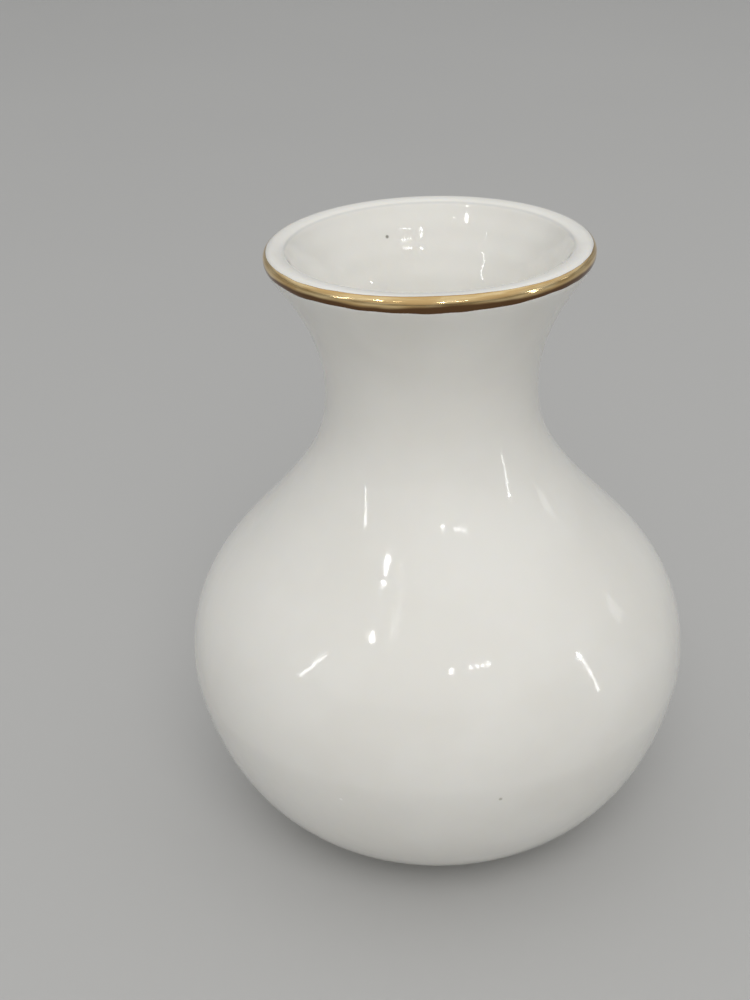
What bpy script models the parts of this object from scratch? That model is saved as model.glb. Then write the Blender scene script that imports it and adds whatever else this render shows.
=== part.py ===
"""Small porcelain bud vase: glazed shell, gold band round the lip, bare clay foot ring.

The vase stands on z = 0 with its axis on Z. Every piece is turned: an outline in the
XZ plane, from +X, is spun once round the axis. Lengths are in metres.
"""

import math

import bmesh
import bpy
from mathutils import Vector
from mathutils.geometry import interpolate_bezier

MM = 0.001

# Driving dimensions of the outside
HEIGHT = 76.0 * MM
BELLY_RADIUS = 31.0 * MM
BELLY_HEIGHT = 23.3 * MM
SHOULDER_RADIUS = 22.3 * MM
SHOULDER_HEIGHT = 40.85 * MM
SHOULDER_LEAN = math.radians(43.4)
NECK_RADIUS = 12.5 * MM
NECK_HEIGHT = 59.0 * MM
FLARE_LEAN = math.radians(32.4)
FOOT_RADIUS = 15.5 * MM
FOOT_LEAN = math.radians(80.5)

# Lip: a small roll above its widest line, a fuller one below it
LIP_RADIUS = 18.55 * MM
UPPER_ROLL = 0.95 * MM
LOWER_ROLL = 2.25 * MM

# Mouth: the inside of the flare, close to a straight cone under the lip's inner edge
MOUTH_RADIUS = 15.9 * MM
MOUTH_HEIGHT = 75.3 * MM
MOUTH_LEAN = math.radians(30.0)

# Wall thickness below the neck, measured square to the outside
WALL = 2.2 * MM
FOOT_WALL = 2.7 * MM
BASE_THICKNESS = 2.2 * MM

# Gold band, and the shallow bed in the lip that it lies in
GAP = 0.3 * MM
BAND_THICKNESS = 0.3 * MM
BAND_PROUD = 0.05 * MM
BAND_TOP = math.radians(52.0)
BAND_BOTTOM = math.radians(-12.0)
BED_TOP = math.radians(76.0)
BED_BOTTOM = math.radians(-20.0)
BED_DEPTH = GAP + BAND_THICKNESS - BAND_PROUD

# Foot ring
RING_HEIGHT = 1.2 * MM
RING_OUTER_TOP = 15.3 * MM
RING_OUTER_FOOT = 15.0 * MM
RING_INNER_TOP = 13.2 * MM
RING_INNER_FOOT = 13.5 * MM
RING_EDGE = 0.25 * MM
BASE_HEIGHT = RING_HEIGHT + GAP

# Pull of each curve's handles: how far the curve keeps to its end direction
FLARE_PULL = (2.5 * MM, 7.5 * MM)
NECK_PULL = (5.5 * MM, 12.0 * MM)
SHOULDER_PULL = (7.0 * MM, 8.2 * MM)
BELLY_PULL = (2.9 * MM, 13.0 * MM)
CROWN_PULL = (0.65 * MM, 1.2 * MM)
MOUTH_PULL = (7.5 * MM, 6.2 * MM)
FLOOR_PULL = (1.2 * MM, 8.0 * MM)

# Facets
TURNS = 48
FLARE_STEPS = 8
NECK_STEPS = 6
SHOULDER_STEPS = 7
BELLY_STEPS = 9
SMALL_STEPS = 3
CROWN_STEPS = 6
SHARP_EDGE = math.radians(40.0)
SAME_POINT = 0.01 * MM

# Finishes: colour, roughness, metallic
GLAZE = ((0.85, 0.85, 0.82), 0.12, 0.0)
GOLD = ((0.83, 0.58, 0.27), 0.2, 1.0)
BARE_CLAY = ((0.78, 0.74, 0.67), 0.85, 0.0)


def clear_scene():
    for old in list(bpy.data.objects):
        bpy.data.objects.remove(old, do_unlink=True)


def material(name, colour, roughness, metallic):
    made = bpy.data.materials.new(name)
    made.use_nodes = True
    shader = made.node_tree.nodes["Principled BSDF"]
    shader.inputs["Base Color"].default_value = (*colour, 1.0)
    shader.inputs["Roughness"].default_value = roughness
    shader.inputs["Metallic"].default_value = metallic
    return made


def direction(lean):
    """Unit step of an outline going down: lean 0 is straight down, positive leans outward."""
    return Vector((math.sin(lean), 0.0, -math.cos(lean)))


def curve(start, start_lean, end, end_lean, pulls, steps):
    """Bezier from start to end, both (radius, height), leaving and arriving at the given leans."""
    first = Vector((start[0], 0.0, start[1]))
    last = Vector((end[0], 0.0, end[1]))
    leave = first + direction(start_lean) * pulls[0]
    arrive = last - direction(end_lean) * pulls[1]
    points = interpolate_bezier(first, leave, arrive, last, steps + 1)
    return [(point.x, point.z) for point in points]


def arc(centre, radius, start, end, steps):
    points = []
    for step in range(steps + 1):
        angle = start + (end - start) * step / steps
        points.append((centre[0] + radius * math.cos(angle), centre[1] + radius * math.sin(angle)))
    return points


def joined(*stretches):
    """One outline from several stretches, leaving out points that repeat."""
    outline = []
    for stretch in stretches:
        for point in stretch:
            if not outline or math.dist(outline[-1], point) > SAME_POINT:
                outline.append(point)
    return outline


def turned(name, outline, finish, closed):
    """Spin an outline that runs down the outer side. An open one starts and ends on the axis."""
    work = bmesh.new()
    corners = [work.verts.new((radius, 0.0, height)) for radius, height in outline]
    edges = [work.edges.new(pair) for pair in zip(corners, corners[1:])]
    if closed:
        edges.append(work.edges.new((corners[-1], corners[0])))
    bmesh.ops.spin(
        work,
        geom=corners + edges,
        cent=(0.0, 0.0, 0.0),
        axis=(0.0, 0.0, 1.0),
        angle=math.tau,
        steps=TURNS,
        use_merge=True,
    )
    bmesh.ops.remove_doubles(work, verts=work.verts, dist=SAME_POINT)
    bmesh.ops.recalc_face_normals(work, faces=work.faces)
    mesh = bpy.data.meshes.new(name)
    work.to_mesh(mesh)
    work.free()
    mesh.shade_smooth()
    mesh.set_sharp_from_angle(angle=SHARP_EDGE)
    mesh.materials.append(finish)
    made = bpy.data.objects.new(name, mesh)
    bpy.context.collection.objects.link(made)
    return made


LIP_HEIGHT = HEIGHT - UPPER_ROLL
UPPER_CENTRE = (LIP_RADIUS - UPPER_ROLL, LIP_HEIGHT)
LOWER_CENTRE = (LIP_RADIUS - LOWER_ROLL, LIP_HEIGHT)


def flare_outline():
    """The outside, from where the flare leaves the lip down to the neck."""
    under_lip = arc(LOWER_CENTRE, LOWER_ROLL, 0.0, -FLARE_LEAN, 1)[-1]
    neck = (NECK_RADIUS, NECK_HEIGHT)
    return curve(under_lip, -FLARE_LEAN, neck, 0.0, FLARE_PULL, FLARE_STEPS)


def mouth_outline():
    """The inside, from the lip's inner edge down to the neck."""
    edge = (MOUTH_RADIUS, MOUTH_HEIGHT)
    neck = (NECK_RADIUS - WALL, NECK_HEIGHT)
    return curve(edge, -MOUTH_LEAN, neck, 0.0, MOUTH_PULL, FLARE_STEPS)


def bulb_outline():
    """The outside, from the neck down to the foot."""
    neck = (NECK_RADIUS, NECK_HEIGHT)
    shoulder = (SHOULDER_RADIUS, SHOULDER_HEIGHT)
    belly = (BELLY_RADIUS, BELLY_HEIGHT)
    foot = (FOOT_RADIUS, BASE_HEIGHT)
    return joined(
        curve(neck, 0.0, shoulder, SHOULDER_LEAN, NECK_PULL, NECK_STEPS),
        curve(shoulder, SHOULDER_LEAN, belly, 0.0, SHOULDER_PULL, SHOULDER_STEPS),
        curve(belly, 0.0, foot, -FOOT_LEAN, BELLY_PULL, BELLY_STEPS),
    )


def wall_at(height):
    """The wall is even down to the belly, and thickens from there to the foot."""
    share = max((BELLY_HEIGHT - height) / (BELLY_HEIGHT - BASE_HEIGHT), 0.0)
    return WALL + (FOOT_WALL - WALL) * share


def inside_outline(outside):
    """The bulb's outside moved in, square to itself, by the wall's thickness."""
    inner = []
    last = len(outside) - 1
    for index, (radius, height) in enumerate(outside[1:], start=1):
        before = outside[index - 1]
        after = outside[min(index + 1, last)]
        along = Vector((after[0] - before[0], after[1] - before[1])).normalized()
        wall = wall_at(height)
        inner.append((radius + along.y * wall, height - along.x * wall))
    return inner


def lip_outline():
    """From the lip's inner edge over the flat crown, down into the band's bed and out under it."""
    inner_edge = (MOUTH_RADIUS, MOUTH_HEIGHT)
    top = (UPPER_CENTRE[0], HEIGHT)
    crown = curve(inner_edge, math.pi - MOUTH_LEAN, top, math.pi / 2, CROWN_PULL, CROWN_STEPS)
    shelf = arc(UPPER_CENTRE, UPPER_ROLL, math.pi / 2, BED_TOP, 1)
    upper_bed = arc(UPPER_CENTRE, UPPER_ROLL - BED_DEPTH, BED_TOP, 0.0, SMALL_STEPS)
    lower_bed = arc(LOWER_CENTRE, LOWER_ROLL - BED_DEPTH, 0.0, BED_BOTTOM, SMALL_STEPS)
    underside = arc(LOWER_CENTRE, LOWER_ROLL, BED_BOTTOM, -FLARE_LEAN, 2)
    return joined(crown, shelf, upper_bed, lower_bed, underside)


def body_outline():
    """Inside from the middle of the floor up, over the lip, outside down to under the base."""
    bulb = bulb_outline()
    inside = inside_outline(bulb)
    floor_middle = (0.0, BASE_HEIGHT + BASE_THICKNESS)
    floor = curve(inside[-1], -FOOT_LEAN, floor_middle, -math.pi / 2, FLOOR_PULL, SMALL_STEPS)
    hollow = joined(mouth_outline(), inside, floor)
    return joined(reversed(hollow), lip_outline(), flare_outline(), bulb, [(0.0, BASE_HEIGHT)])


def make_body():
    glaze = material("glaze", *GLAZE)
    return turned("glazed_body", body_outline(), glaze, closed=False)


def make_band():
    """A thin ring that follows the lip's two rolls, standing just proud of them."""
    outer_upper = UPPER_ROLL + BAND_PROUD
    outer_lower = LOWER_ROLL + BAND_PROUD
    outer = joined(
        arc(UPPER_CENTRE, outer_upper, BAND_TOP, 0.0, SMALL_STEPS),
        arc(LOWER_CENTRE, outer_lower, 0.0, BAND_BOTTOM, 2),
    )
    inner = joined(
        arc(LOWER_CENTRE, outer_lower - BAND_THICKNESS, BAND_BOTTOM, 0.0, 2),
        arc(UPPER_CENTRE, outer_upper - BAND_THICKNESS, 0.0, BAND_TOP, SMALL_STEPS),
    )
    gold = material("gold", *GOLD)
    return turned("gilt_rim_band", outer + inner, gold, closed=True)


def make_foot_ring():
    """The ring of bare clay that the vase stands on, with eased edges at the ground."""
    outer_edge = (RING_OUTER_FOOT - RING_EDGE, RING_EDGE)
    inner_edge = (RING_INNER_FOOT + RING_EDGE, RING_EDGE)
    outline = joined(
        [(RING_OUTER_TOP, RING_HEIGHT)],
        arc(outer_edge, RING_EDGE, 0.0, -math.pi / 2, SMALL_STEPS),
        arc(inner_edge, RING_EDGE, -math.pi / 2, -math.pi, SMALL_STEPS),
        [(RING_INNER_TOP, RING_HEIGHT)],
    )
    clay = material("bare_clay", *BARE_CLAY)
    return turned("bare_foot_ring", outline, clay, closed=True)


clear_scene()
make_body()
make_band()
make_foot_ring()
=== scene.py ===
"""Looks for a small porcelain bud vase: clear glaze over white porcelain, a brushed gold band
round the lip, and the bare clay ring that it stands on, in a plain pale studio.

Every piece is turned round Z from an outline of (radius, height), in metres.
"""

import math

import bmesh
import bpy
import numpy as np
from mathutils import Matrix, Vector
from mathutils.geometry import interpolate_bezier


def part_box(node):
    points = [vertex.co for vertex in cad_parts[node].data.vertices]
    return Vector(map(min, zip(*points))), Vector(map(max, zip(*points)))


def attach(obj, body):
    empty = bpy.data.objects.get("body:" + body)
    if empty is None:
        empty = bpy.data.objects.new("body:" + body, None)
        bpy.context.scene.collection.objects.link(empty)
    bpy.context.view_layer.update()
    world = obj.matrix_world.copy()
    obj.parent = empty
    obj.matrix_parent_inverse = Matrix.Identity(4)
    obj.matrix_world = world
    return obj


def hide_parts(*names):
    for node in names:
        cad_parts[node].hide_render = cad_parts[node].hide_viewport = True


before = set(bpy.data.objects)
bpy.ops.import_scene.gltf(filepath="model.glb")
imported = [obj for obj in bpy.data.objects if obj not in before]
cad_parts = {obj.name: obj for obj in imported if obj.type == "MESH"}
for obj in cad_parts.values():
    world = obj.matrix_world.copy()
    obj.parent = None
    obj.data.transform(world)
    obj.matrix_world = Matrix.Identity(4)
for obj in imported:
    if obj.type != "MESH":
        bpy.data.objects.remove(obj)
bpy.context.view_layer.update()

MM = 0.001

# From the frame
body_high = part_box("glazed_body")[1]
HEIGHT = body_high.z
BELLY_RADIUS = body_high.x

# The rest of the outside, as the CAD part has it
BELLY_HEIGHT = 23.3 * MM
SHOULDER_RADIUS = 22.3 * MM
SHOULDER_HEIGHT = 40.85 * MM
SHOULDER_LEAN = math.radians(43.4)
NECK_RADIUS = 12.5 * MM
NECK_HEIGHT = 59.0 * MM
FLARE_LEAN = math.radians(32.4)
FOOT_RADIUS = 15.5 * MM
FOOT_LEAN = math.radians(80.5)
BASE_HEIGHT = 1.5 * MM

# Lip, mouth, and the walls below the neck
LIP_RADIUS = 18.55 * MM
UPPER_ROLL = 0.95 * MM
LOWER_ROLL = 2.25 * MM
LIP_HEIGHT = HEIGHT - UPPER_ROLL
UPPER_CENTRE = (LIP_RADIUS - UPPER_ROLL, LIP_HEIGHT)
LOWER_CENTRE = (LIP_RADIUS - LOWER_ROLL, LIP_HEIGHT)
MOUTH_RADIUS = 15.9 * MM
MOUTH_HEIGHT = 75.3 * MM
MOUTH_LEAN = math.radians(30.0)
WALL = 2.2 * MM
FOOT_WALL = 2.7 * MM
BASE_THICKNESS = 2.2 * MM

# Pull of each curve's handles
FLARE_PULL = (2.5 * MM, 7.5 * MM)
NECK_PULL = (5.5 * MM, 12.0 * MM)
SHOULDER_PULL = (7.0 * MM, 8.2 * MM)
BELLY_PULL = (2.9 * MM, 13.0 * MM)
CROWN_PULL = (0.65 * MM, 1.2 * MM)
MOUTH_PULL = (7.5 * MM, 6.2 * MM)
FLOOR_PULL = (1.2 * MM, 8.0 * MM)

# What firing does to the shape
OVAL = 0.0007
TRILOBE = 0.0004
LIP_TILT = 0.1 * MM
RINGS = 6
RING_WAVE = 0.018 * MM

# Foot: the glaze ends in a soft bead on each side of the bare ring, and its groove holds the ring's top
RING_OUTER = 15.3 * MM
RING_OUTER_FOOT = 15.0 * MM
RING_INNER = 13.2 * MM
RING_INNER_FOOT = 13.5 * MM
RING_EDGE = 0.25 * MM
BEAD_HEIGHT = 1.12 * MM
BEAD_WAVE = 0.07 * MM
BEAD_REACH = 0.15 * MM
BEAD_PULL = (0.16 * MM, 0.16 * MM)
GROOVE_INSET = 0.2 * MM
RING_INSET = 0.15 * MM
RING_TOP = 1.35 * MM
RECESS_INSET = 0.5 * MM
BASE_DOME = 0.25 * MM
BASE_PULL = (4.0 * MM, 4.0 * MM)

# Gold band, brushed on once round: it is widest at the seam, where its stroke starts and ends
BAND_TOP = math.radians(54.0)
BAND_BOTTOM = math.radians(-18.0)
BAND_WANDER = math.radians(1.8)
BAND_FILM = 0.03 * MM
BAND_ROOT = 0.12 * MM
SEAM_ANGLE = math.radians(-86.5)
SEAM_WIDTH = math.radians(4.5)
SEAM_DROP = math.radians(3.0)
CROWN_RISE = math.radians(30.0)
CROWN_REACH = math.radians(30.0)

# Lip's inner edge, where a thin grey line of painted shade runs
EDGE_RADIUS = 16.15 * MM
EDGE_REACH = 0.18 * MM

# Small flaws in the glaze: (place, radius, colour)
FLAWS = [
    ((-0.0050, 0.0133, 0.0723), 0.30 * MM, (0.30, 0.29, 0.25)),
    ((-0.0110, -0.0287, 0.0205), 0.30 * MM, (0.97, 0.97, 0.95)),
    ((0.0069, -0.0301, 0.0215), 0.30 * MM, (0.52, 0.50, 0.45)),
    ((0.0150, 0.0235, 0.0330), 0.24 * MM, (0.40, 0.38, 0.33)),
    ((-0.0160, 0.0262, 0.0200), 0.20 * MM, (0.45, 0.42, 0.36)),
]

# Colours. A pair is the two ends of a slow change across the surface
GLAZE_TONES = ((0.820, 0.808, 0.765), (0.850, 0.841, 0.802))
# Grey of the painted shade along the lip's inner edge
GLAZE_EDGE_SHADE = (0.735, 0.735, 0.715)
GOLD_TONES = ((0.74, 0.50, 0.22), (1.0, 0.78, 0.43))
# Dark brown of the painted reflection over the gold's lower part
GOLD_PAINTED_REFLECTION = (0.16, 0.085, 0.04)
GOLD_EDGE = (0.20, 0.10, 0.04)
CLAY_TONES = ((0.70, 0.65, 0.57), (0.82, 0.78, 0.71))
CLAY_SOIL = (0.55, 0.49, 0.41)
PAPER_TONES = ((0.490, 0.490, 0.486), (0.505, 0.505, 0.500))
SKY_TONES = ((0.34, 0.342, 0.346), (0.72, 0.72, 0.715))
KEY_COLOUR = (1.0, 0.985, 0.96)
WINDOW_COLOUR = (0.95, 1.0, 1.0)

# Mesh
TURNS = 240
BAND_TURNS = 576
STAGE_TURNS = 96
FLARE_STEPS = 32
MOUTH_STEPS = 72
NECK_STEPS = 28
SHOULDER_STEPS = 30
BELLY_STEPS = 44
FLOOR_STEPS = 20
CROWN_STEPS = 20
UPPER_STEPS = 14
LOWER_STEPS = 12
BEAD_STEPS = 8
BASE_STEPS = 16
STAGE_STEPS = 24
FILM_POINTS = 25
ROOT_POINTS = 9
SAME_POINT = 0.001 * MM
WELD = 0.0001 * MM
TURNED_UV = "turned"

# Stage
FLOOR_RADIUS = 0.9
SWEEP_RADIUS = 0.5

# Lamps: the point they face, and the two groups of small ones
AIM = Vector((0.0, 0.0, 0.045))
ROW_LAMPS = 4
CHAIN_LAMPS = 12
CHAIN_SEED = 7

# Camera
CAMERA_PLACE = (0.0, -0.1509, 0.1255)
CAMERA_PITCH = math.radians(28.57)
CAMERA_YAW = math.radians(-2.71)
CAMERA_ROLL = math.radians(-2.30)
CAMERA_LENS = 50.4


def direction(lean):
    """Unit step of an outline going down: lean 0 is straight down, positive leans outward."""
    return Vector((math.sin(lean), 0.0, -math.cos(lean)))


def curve(start, start_lean, end, end_lean, pulls, steps):
    """Bezier from start to end, both (radius, height), leaving and arriving at the given leans."""
    first = Vector((start[0], 0.0, start[1]))
    last = Vector((end[0], 0.0, end[1]))
    leave = first + direction(start_lean) * pulls[0]
    arrive = last - direction(end_lean) * pulls[1]
    points = interpolate_bezier(first, leave, arrive, last, steps + 1)
    return [(point.x, point.z) for point in points]


def arc(centre, radius, start, end, steps):
    points = []
    for step in range(steps + 1):
        angle = start + (end - start) * step / steps
        points.append((centre[0] + radius * math.cos(angle), centre[1] + radius * math.sin(angle)))
    return points


def joined(*stretches):
    """One outline from several stretches, leaving out points that repeat."""
    outline = []
    for stretch in stretches:
        for point in stretch:
            if not outline or math.dist(outline[-1], point) > SAME_POINT:
                outline.append(point)
    return outline


def ripple(angle, seed, slowest, fastest):
    """A smooth random wave round the vase, mostly between -1 and 1."""
    rng = np.random.default_rng(seed)
    turns = np.arange(slowest, fastest + 1)
    sizes = rng.normal(size=turns.size) / np.sqrt(turns)
    starts = rng.uniform(0.0, math.tau, turns.size)
    wave = (sizes * np.cos(np.asarray(angle)[..., None] * turns + starts)).sum(-1)
    return wave / math.sqrt((sizes**2).sum())


def fired(angle, radius, height):
    """The slight warp of firing: a hair out of round, with the lip a hair out of level."""
    warp = 1.0 + OVAL * np.cos(2.0 * angle + 0.7) + TRILOBE * np.cos(3.0 * angle + 2.1)
    tilt = LIP_TILT * (height / HEIGHT) ** 2 * np.cos(angle - SEAM_ANGLE)
    return radius * warp, height + tilt


def angles(turns):
    """Even steps once round, from the seam, as a column."""
    return SEAM_ANGLE + math.tau * np.arange(turns)[:, None] / turns


def surface(name, radius, height, across, closed):
    """Mesh from a grid of points: a row for each angle, a column for each outline point."""
    turns, columns = radius.shape
    angle = angles(turns)
    points = np.stack([radius * np.cos(angle), radius * np.sin(angle), height], axis=-1)
    spans = columns if closed else columns - 1
    row, column = np.meshgrid(np.arange(turns), np.arange(spans), indexing="ij")
    next_row = (row + 1) % turns
    next_column = (column + 1) % columns
    corners = [
        row * columns + column,
        row * columns + next_column,
        next_row * columns + next_column,
        next_row * columns + column,
    ]
    faces = np.stack(corners, axis=-1).reshape(-1, 4)
    mesh = bpy.data.meshes.new(name)
    mesh.from_pydata(points.reshape(-1, 3).tolist(), [], faces.tolist())
    round_share = np.stack([row, row, row + 1, row + 1], axis=-1) / turns
    across_share = np.stack([across[column], across[next_column]] * 2, axis=-1)[..., [0, 1, 3, 2]]
    uv = mesh.uv_layers.new(name=TURNED_UV)
    uv.data.foreach_set("uv", np.stack([round_share, across_share], axis=-1).ravel())
    work = bmesh.new()
    work.from_mesh(mesh)
    bmesh.ops.remove_doubles(work, verts=work.verts, dist=WELD)
    work.to_mesh(mesh)
    work.free()
    mesh.shade_smooth()
    made = bpy.data.objects.new(name, mesh)
    bpy.context.scene.collection.objects.link(made)
    return made


def turned(name, outline, turns, closed, nudge):
    """A piece turned from one outline, warped by the firing."""
    outline = np.array(outline)
    steps = np.linalg.norm(np.diff(outline, axis=0), axis=1)
    across = np.concatenate([[0.0], np.cumsum(steps)]) / steps.sum()
    angle = angles(turns)
    radius = np.broadcast_to(outline[:, 0], (turns, len(outline)))
    height = np.broadcast_to(outline[:, 1], (turns, len(outline)))
    radius, height = nudge(angle, radius, height)
    return surface(name, *fired(angle, radius, height), across, closed)


def flare_outline():
    """The outside, from where the flare leaves the lip down to the neck."""
    under_lip = arc(LOWER_CENTRE, LOWER_ROLL, 0.0, -FLARE_LEAN, 1)[-1]
    neck = (NECK_RADIUS, NECK_HEIGHT)
    return curve(under_lip, -FLARE_LEAN, neck, 0.0, FLARE_PULL, FLARE_STEPS)


def mouth_outline():
    """The inside, from the lip's inner edge down to the neck, with faint rings from the casting."""
    edge = (MOUTH_RADIUS, MOUTH_HEIGHT)
    neck = (NECK_RADIUS - WALL, NECK_HEIGHT)
    points = []
    for radius, height in curve(edge, -MOUTH_LEAN, neck, 0.0, MOUTH_PULL, MOUTH_STEPS):
        turns = RINGS * (MOUTH_HEIGHT - height) / (MOUTH_HEIGHT - NECK_HEIGHT)
        points.append((radius + RING_WAVE * math.sin(math.tau * turns), height))
    return points


def bulb_outline():
    """The outside, from the neck down to the foot."""
    neck = (NECK_RADIUS, NECK_HEIGHT)
    shoulder = (SHOULDER_RADIUS, SHOULDER_HEIGHT)
    belly = (BELLY_RADIUS, BELLY_HEIGHT)
    foot = (FOOT_RADIUS, BASE_HEIGHT)
    return joined(
        curve(neck, 0.0, shoulder, SHOULDER_LEAN, NECK_PULL, NECK_STEPS),
        curve(shoulder, SHOULDER_LEAN, belly, 0.0, SHOULDER_PULL, SHOULDER_STEPS),
        curve(belly, 0.0, foot, -FOOT_LEAN, BELLY_PULL, BELLY_STEPS),
    )


def wall_at(height):
    """The wall is even down to the belly, and thickens from there to the foot."""
    share = max((BELLY_HEIGHT - height) / (BELLY_HEIGHT - BASE_HEIGHT), 0.0)
    return WALL + (FOOT_WALL - WALL) * share


def inside_outline(outside):
    """The bulb's outside moved in, square to itself, by the wall's thickness."""
    inner = []
    last = len(outside) - 1
    for index, (radius, height) in enumerate(outside[1:], start=1):
        before = outside[index - 1]
        after = outside[min(index + 1, last)]
        along = Vector((after[0] - before[0], after[1] - before[1])).normalized()
        wall = wall_at(height)
        inner.append((radius + along.y * wall, height - along.x * wall))
    return inner


def lip_outline():
    """From the lip's inner edge over the flat crown and round the roll to its underside."""
    inner_edge = (MOUTH_RADIUS, MOUTH_HEIGHT)
    top = (UPPER_CENTRE[0], HEIGHT)
    return joined(
        curve(inner_edge, math.pi - MOUTH_LEAN, top, math.pi / 2, CROWN_PULL, CROWN_STEPS),
        arc(UPPER_CENTRE, UPPER_ROLL, math.pi / 2, 0.0, UPPER_STEPS),
        arc(LOWER_CENTRE, LOWER_ROLL, 0.0, -FLARE_LEAN, LOWER_STEPS),
    )


def foot_outline():
    """Under the base: the outer bead, the groove that the clay ring fills, and the inner bead."""
    outer_bead = (RING_OUTER, BEAD_HEIGHT)
    inner_bead = (RING_INNER, BEAD_HEIGHT)
    groove_outer = RING_OUTER - GROOVE_INSET
    groove_inner = RING_INNER + GROOVE_INSET
    recess = (RING_INNER - RECESS_INSET, BASE_HEIGHT)
    middle = (0.0, BASE_HEIGHT + BASE_DOME)
    return joined(
        curve((FOOT_RADIUS, BASE_HEIGHT), -FOOT_LEAN, outer_bead, -FOOT_LEAN, BEAD_PULL, BEAD_STEPS),
        [(groove_outer, BEAD_HEIGHT), (groove_outer, BASE_HEIGHT)],
        [(groove_inner, BASE_HEIGHT), (groove_inner, BEAD_HEIGHT)],
        curve(inner_bead, -FOOT_LEAN, recess, -FOOT_LEAN, BEAD_PULL, BEAD_STEPS),
        curve(recess, -math.pi / 2, middle, -math.pi / 2, BASE_PULL, BASE_STEPS),
    )


def wavy_bead(angle, radius, height):
    """The glaze stops at the ring in a line that isn't quite level."""
    near = np.exp(-(((height - BEAD_HEIGHT) / BEAD_REACH) ** 2)) * (radius > RING_INNER - MM)
    return radius, height + near * BEAD_WAVE * ripple(angle, 3, 2, 24)


def make_body():
    bulb = bulb_outline()
    inside = inside_outline(bulb)
    floor_middle = (0.0, BASE_HEIGHT + BASE_THICKNESS)
    floor = curve(inside[-1], -FOOT_LEAN, floor_middle, -math.pi / 2, FLOOR_PULL, FLOOR_STEPS)
    hollow = joined(mouth_outline(), inside, floor)
    outline = joined(reversed(hollow), lip_outline(), flare_outline(), bulb, foot_outline())
    return turned("porcelain_body", outline, TURNS, False, wavy_bead)


def from_seam(angle):
    """How far round an angle is from the seam, either way."""
    return np.abs((angle - SEAM_ANGLE + math.pi) % math.tau - math.pi)


def band_edges(angle):
    """Leans of the gold's top and bottom edge: it rides up the crown and droops at the seam."""
    away = from_seam(angle)
    top = BAND_TOP + CROWN_RISE * np.exp(-((away / CROWN_REACH) ** 2))
    bottom = BAND_BOTTOM - SEAM_DROP * np.exp(-away / SEAM_WIDTH)
    return top + BAND_WANDER * ripple(angle, 11, 2, 40), bottom + BAND_WANDER * ripple(angle, 12, 2, 40)


def make_band():
    """A film that follows the lip's rolls, thinning out into the glaze at its wandering edges."""
    angle = angles(BAND_TURNS)
    top, bottom = band_edges(angle)
    outer = np.linspace(0.0, 1.0, FILM_POINTS)
    inner = np.linspace(1.0, 0.0, ROOT_POINTS)
    across = np.concatenate([outer, inner])
    film = BAND_FILM * (0.7 - np.abs(2.0 * outer - 1.0) ** 6)
    depth = np.concatenate([film, np.full(inner.size, -BAND_ROOT)])
    upper = UPPER_ROLL * top
    down = across * (upper - LOWER_ROLL * bottom) - upper
    above = down < 0.0
    roll = np.where(above, UPPER_ROLL, LOWER_ROLL)
    lean = -down / roll
    centre = np.where(above, UPPER_CENTRE[0], LOWER_CENTRE[0])
    radius = centre + (roll + depth) * np.cos(lean)
    height = LIP_HEIGHT + (roll + depth) * np.sin(lean)
    return surface("gold_band", *fired(angle, radius, height), across, True)


def unmoved(angle, radius, height):
    return radius, height


def make_ring():
    """The bare clay ring, running up a little into the glaze."""
    outer_edge = (RING_OUTER_FOOT - RING_EDGE, RING_EDGE)
    inner_edge = (RING_INNER_FOOT + RING_EDGE, RING_EDGE)
    outline = joined(
        [(RING_OUTER - RING_INSET, RING_TOP), (RING_OUTER, BEAD_HEIGHT)],
        arc(outer_edge, RING_EDGE, 0.0, -math.pi / 2, BEAD_STEPS),
        arc(inner_edge, RING_EDGE, -math.pi / 2, -math.pi, BEAD_STEPS),
        [(RING_INNER, BEAD_HEIGHT), (RING_INNER + RING_INSET, RING_TOP)],
    )
    return turned("clay_foot_ring", outline, TURNS, True, unmoved)


def new_material(name):
    made = bpy.data.materials.new(name)
    made.use_nodes = True
    return made, made.node_tree, made.node_tree.nodes["Principled BSDF"]


def add(tree, kind, sockets, **settings):
    """A node with its settings, and each socket either set to a value or linked from another."""
    made = tree.nodes.new(kind)
    for key, value in settings.items():
        setattr(made, key, value)
    for key, value in sockets.items():
        if isinstance(value, bpy.types.NodeSocket):
            tree.links.new(value, made.inputs[key])
        else:
            made.inputs[key].default_value = value
    return made


def noise(tree, place, scale, detail):
    sockets = {"Vector": place, "Scale": scale, "Detail": detail, "Roughness": 0.5}
    return add(tree, "ShaderNodeTexNoise", sockets).outputs["Fac"]


def spread(tree, value, low, high, new_low, new_high):
    """value, from the range low to high, eased into the range new_low to new_high."""
    sockets = {"Value": value, 1: low, 2: high, 3: new_low, 4: new_high}
    return add(tree, "ShaderNodeMapRange", sockets, interpolation_type="SMOOTHSTEP").outputs["Result"]


def blend(tree, share, first, second):
    """A mix of two colours."""
    made = add(tree, "ShaderNodeMix", {}, data_type="RGBA")
    for socket, value in zip((made.inputs[0], made.inputs[6], made.inputs[7]), (share, first, second)):
        if isinstance(value, bpy.types.NodeSocket):
            tree.links.new(value, socket)
        else:
            socket.default_value = value if isinstance(value, float) else (*value, 1.0)
    return made.outputs[2]


def maths(tree, operation, first, second):
    return add(tree, "ShaderNodeMath", {0: first, 1: second}, operation=operation).outputs[0]


def bump(tree, height, distance, under=None):
    sockets = {"Height": height, "Distance": distance, "Strength": 1.0}
    if under is not None:
        sockets["Normal"] = under
    return add(tree, "ShaderNodeBump", sockets).outputs["Normal"]


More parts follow.
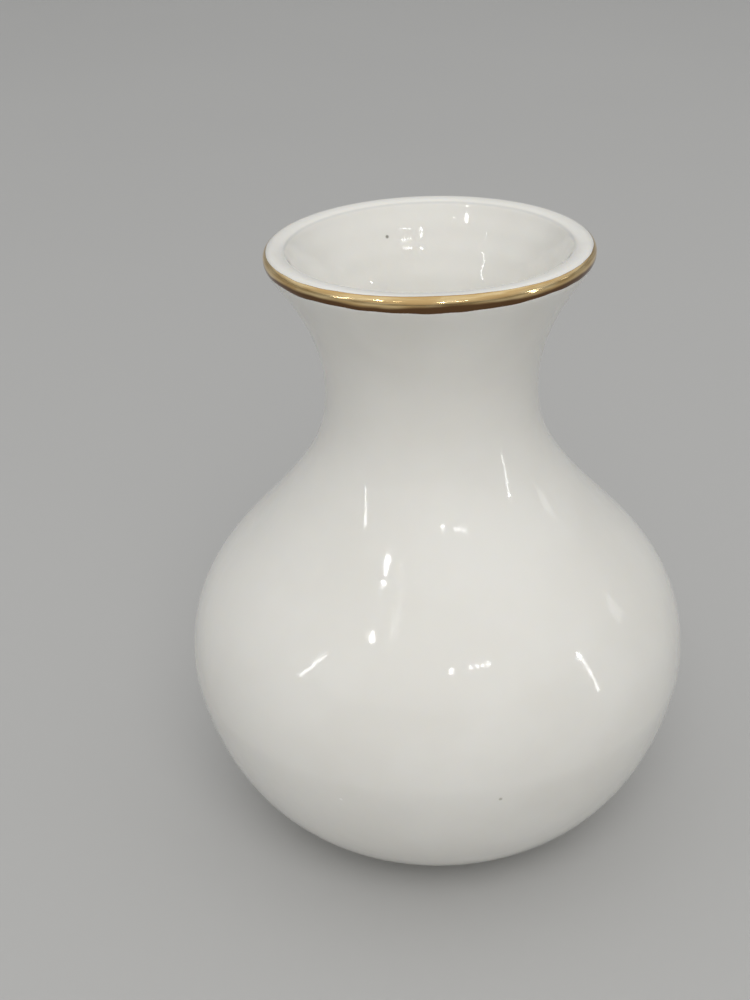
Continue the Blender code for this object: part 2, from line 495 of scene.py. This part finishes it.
def painted_edge_shade(tree, place):
    """A thin grey line of painted shade along the lip's inner edge, above the mouth."""
    split = add(tree, "ShaderNodeSeparateXYZ", {"Vector": place}).outputs
    square = maths(tree, "ADD", maths(tree, "POWER", split["X"], 2.0), maths(tree, "POWER", split["Y"], 2.0))
    gap = maths(tree, "SUBTRACT", maths(tree, "SQRT", square, 0.0), EDGE_RADIUS)
    line = spread(tree, maths(tree, "ABSOLUTE", gap, 0.0), 0.0, EDGE_REACH, 1.0, 0.0)
    return maths(tree, "MULTIPLY", line, maths(tree, "GREATER_THAN", split["Z"], MOUTH_HEIGHT))


def glaze():
    """Warm white, cloudy to a hair's breadth, with the faint waves of a fired glaze."""
    made, tree, shader = new_material("glaze")
    place = add(tree, "ShaderNodeTexCoord", {}).outputs["Object"]
    cloud = spread(tree, noise(tree, place, 70.0, 3.0), 0.35, 0.65, 0.0, 1.0)
    colour = blend(tree, cloud, *GLAZE_TONES)
    pit = 0.0
    for spot, radius, tint in FLAWS:
        away = add(tree, "ShaderNodeVectorMath", {0: place, 1: spot}, operation="DISTANCE").outputs["Value"]
        share = spread(tree, away, 0.3 * radius, radius, 1.0, 0.0)
        colour = blend(tree, share, colour, tint)
        pit = maths(tree, "ADD", pit, share)
    # Painted shade: a thin grey line along the lip's inner edge
    colour = blend(tree, painted_edge_shade(tree, place), colour, GLAZE_EDGE_SHADE)
    grain = noise(tree, place, 900.0, 2.0)
    waves = bump(tree, noise(tree, place, 75.0, 1.0), 120e-6)
    peel = bump(tree, noise(tree, place, 420.0, 1.0), 18e-6, waves)
    peel = bump(tree, noise(tree, place, 1500.0, 1.0), 3e-6, peel)
    tree.links.new(colour, shader.inputs["Base Color"])
    tree.links.new(spread(tree, grain, 0.3, 0.7, 0.045, 0.085), shader.inputs["Roughness"])
    tree.links.new(bump(tree, maths(tree, "MULTIPLY", pit, -1.0), 30e-6, peel), shader.inputs["Normal"])
    shader.inputs["IOR"].default_value = 1.5
    shader.inputs["Subsurface Weight"].default_value = 0.2
    shader.inputs["Subsurface Radius"].default_value = (1.0, 0.85, 0.6)
    shader.inputs["Subsurface Scale"].default_value = 0.9 * MM
    return made


def gold():
    """Bright fired gold: streaked along the stroke, browner where it thins towards its edges, and with a
    dark painted reflection over its lower part.
    """
    made, tree, shader = new_material("gold")
    uv = add(tree, "ShaderNodeUVMap", {}, uv_map=TURNED_UV).outputs["UV"]
    split = add(tree, "ShaderNodeSeparateXYZ", {"Vector": uv})
    long_way = maths(tree, "MULTIPLY", split.outputs["X"], 22.0)
    short_way = maths(tree, "MULTIPLY", split.outputs["Y"], 4.0)
    stroke = add(tree, "ShaderNodeCombineXYZ", {"X": long_way, "Y": short_way}).outputs["Vector"]
    streak = noise(tree, stroke, 1.0, 4.0)
    place = add(tree, "ShaderNodeTexCoord", {}).outputs["Object"]
    patch = noise(tree, place, 130.0, 2.0)
    wander = maths(tree, "MULTIPLY", maths(tree, "SUBTRACT", patch, 0.5), 0.5)
    # Painted reflection: the gold's lower part darkened to dark brown, below a wandering line
    low = spread(tree, maths(tree, "ADD", split.outputs["Y"], wander), 0.50, 0.72, 0.0, 1.0)
    tone = blend(tree, spread(tree, streak, 0.35, 0.65, 0.0, 1.0), *GOLD_TONES)
    tone = blend(tree, low, tone, GOLD_PAINTED_REFLECTION)
    edge = maths(tree, "ABSOLUTE", maths(tree, "SUBTRACT", split.outputs["Y"], 0.5), 0.0)
    tone = blend(tree, spread(tree, edge, 0.42, 0.49, 0.0, 0.8), tone, GOLD_EDGE)
    tree.links.new(tone, shader.inputs["Base Color"])
    tree.links.new(spread(tree, streak, 0.25, 0.75, 0.06, 0.16), shader.inputs["Roughness"])
    tree.links.new(bump(tree, streak, 22e-6, bump(tree, patch, 80e-6)), shader.inputs["Normal"])
    shader.inputs["Metallic"].default_value = 1.0
    return made


def bare_clay():
    """Fired clay without glaze: matt, fine grained, a little soiled where it meets the table."""
    made, tree, shader = new_material("bare_clay")
    place = add(tree, "ShaderNodeTexCoord", {}).outputs["Object"]
    grain = noise(tree, place, 5200.0, 4.0)
    soil = spread(tree, noise(tree, place, 260.0, 3.0), 0.45, 0.7, 0.0, 0.7)
    tone = blend(tree, spread(tree, grain, 0.3, 0.7, 0.0, 1.0), *CLAY_TONES)
    tone = blend(tree, soil, tone, CLAY_SOIL)
    tree.links.new(tone, shader.inputs["Base Color"])
    tree.links.new(spread(tree, grain, 0.3, 0.7, 0.78, 0.92), shader.inputs["Roughness"])
    tree.links.new(bump(tree, grain, 60e-6), shader.inputs["Normal"])
    return made


def paper():
    """Pale seamless studio paper."""
    made, tree, shader = new_material("studio_paper")
    place = add(tree, "ShaderNodeTexCoord", {}).outputs["Object"]
    share = spread(tree, noise(tree, place, 3.0, 3.0), 0.3, 0.7, 0.0, 1.0)
    tone = blend(tree, share, *PAPER_TONES)
    tree.links.new(tone, shader.inputs["Base Color"])
    shader.inputs["Roughness"].default_value = 0.75
    shader.inputs["Specular IOR Level"].default_value = 0.2
    return made


def make_stage():
    """A round floor that sweeps up into a low wall, the same from every side."""
    outline = joined(
        [(0.0, 0.0), (0.15, 0.0), (0.5, 0.0), (FLOOR_RADIUS, 0.0)],
        arc((FLOOR_RADIUS, SWEEP_RADIUS), SWEEP_RADIUS, -math.pi / 2, 0.0, STAGE_STEPS),
    )
    outline = np.array(outline[::-1])
    radius = np.broadcast_to(outline[:, 0], (STAGE_TURNS, len(outline)))
    height = np.broadcast_to(outline[:, 1], (STAGE_TURNS, len(outline)))
    across = np.linspace(0.0, 1.0, len(outline))
    return surface("studio_floor", radius, height, across, False)


def towards(azimuth, elevation):
    """Unit vector from the vase. Azimuth 0 is the viewer's side, and 90 the viewer's right."""
    turn = math.radians(azimuth)
    rise = math.radians(elevation)
    return Vector((math.sin(turn) * math.cos(rise), -math.cos(turn) * math.cos(rise), math.sin(rise)))


def lamp(name, azimuth, elevation, distance, size, radiance, colour=(1.0, 1.0, 1.0), turn=0.0, lights=False):
    """A flat lamp that faces the vase, not shown to the camera. One that doesn't light only glints.

    Angles are in degrees. The size is (width, height), and turn rolls it about the way it faces.
    """
    data = bpy.data.lights.new(name, "AREA")
    width, height = size
    data.shape = "ELLIPSE" if width == height else "RECTANGLE"
    area = width * height * (math.pi / 4 if width == height else 1.0)
    data.size = width
    data.size_y = height
    data.energy = radiance * math.pi * area
    data.color = colour
    made = bpy.data.objects.new(name, data)
    bpy.context.scene.collection.objects.link(made)
    away = towards(azimuth, elevation)
    made.location = AIM + away * distance
    made.rotation_mode = "QUATERNION"
    facing = away.to_track_quat("Z", "Y")
    made.rotation_quaternion = facing @ Matrix.Rotation(math.radians(turn), 3, "Z").to_quaternion()
    made.visible_camera = False
    made.visible_diffuse = lights
    made.visible_glossy = not lights
    return made


def make_lights():
    lamp("key", 6.0, 46.0, 1.1, (0.8, 0.8), 3.0, KEY_COLOUR, lights=True)
    lamp("spot_left", -39.5, 44.3, 1.0, (0.045, 0.045), 60.0)
    lamp("spot_front", 8.0, 39.0, 1.0, (0.032, 0.032), 50.0)
    for step in range(ROW_LAMPS):
        lamp("row_%d" % step, 19.0 + 3.0 * step, 39.5, 1.0, (0.018, 0.018), 28.0)
    rng = np.random.default_rng(CHAIN_SEED)
    for step in range(CHAIN_LAMPS):
        azimuth, elevation = rng.uniform((-31.0, 45.0), (-24.0, 51.0))
        lamp("chain_%d" % step, azimuth, elevation, 1.0, (0.006, 0.006), 22.0)
    lamp("tube_left", -61.9, 24.8, 1.0, (0.02, 0.3), 12.0, turn=-17.6)
    lamp("strip_right", 70.3, 10.0, 0.45, (0.012, 0.19), 9.0)
    lamp("strip_tip", 70.3, 21.0, 0.45, (0.016, 0.016), 50.0)
    lamp("window", 101.5, 16.5, 1.0, (0.10, 0.11), 1.2, WINDOW_COLOUR)


def make_world():
    """Soft light from all round, brighter overhead."""
    world = bpy.data.worlds.new("studio_light")
    bpy.context.scene.world = world
    world.use_nodes = True
    tree = world.node_tree
    back = tree.nodes["Background"]
    place = add(tree, "ShaderNodeTexCoord", {}).outputs["Generated"]
    up = add(tree, "ShaderNodeSeparateXYZ", {"Vector": place}).outputs["Z"]
    tone = blend(tree, spread(tree, up, 0.0, 0.9, 0.0, 1.0), *SKY_TONES)
    tree.links.new(tone, back.inputs["Color"])
    back.inputs["Strength"].default_value = 1.0


def make_camera():
    """The viewing angle: a little above the lip, looking down at the vase."""
    level = Vector((math.cos(CAMERA_YAW), -math.sin(CAMERA_YAW), 0.0))
    ahead = Vector((math.sin(CAMERA_YAW), math.cos(CAMERA_YAW), 0.0))
    forward = math.cos(CAMERA_PITCH) * ahead - math.sin(CAMERA_PITCH) * Vector((0.0, 0.0, 1.0))
    above = level.cross(forward)
    right = math.cos(CAMERA_ROLL) * level + math.sin(CAMERA_ROLL) * above
    up = -math.sin(CAMERA_ROLL) * level + math.cos(CAMERA_ROLL) * above
    data = bpy.data.cameras.new("camera")
    data.sensor_width = 36.0
    data.lens = CAMERA_LENS
    data.clip_start = 0.005
    data.clip_end = 10.0
    made = bpy.data.objects.new("camera", data)
    bpy.context.scene.collection.objects.link(made)
    axes = Matrix((right, up, -forward)).transposed()
    made.matrix_world = Matrix.Translation(CAMERA_PLACE) @ axes.to_4x4()
    bpy.context.scene.camera = made


def dress(piece, finish, node):
    """Gives a piece its finish and its place in the frame, in the stead of its CAD node."""
    piece.data.materials.append(finish)
    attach(piece, "root")
    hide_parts(node)


dress(make_body(), glaze(), "glazed_body")
dress(make_band(), gold(), "gilt_rim_band")
dress(make_ring(), bare_clay(), "bare_foot_ring")

floor = make_stage()
floor.data.materials.append(paper())
make_lights()
make_world()
make_camera()
bpy.context.scene.view_settings.view_transform = "Standard"
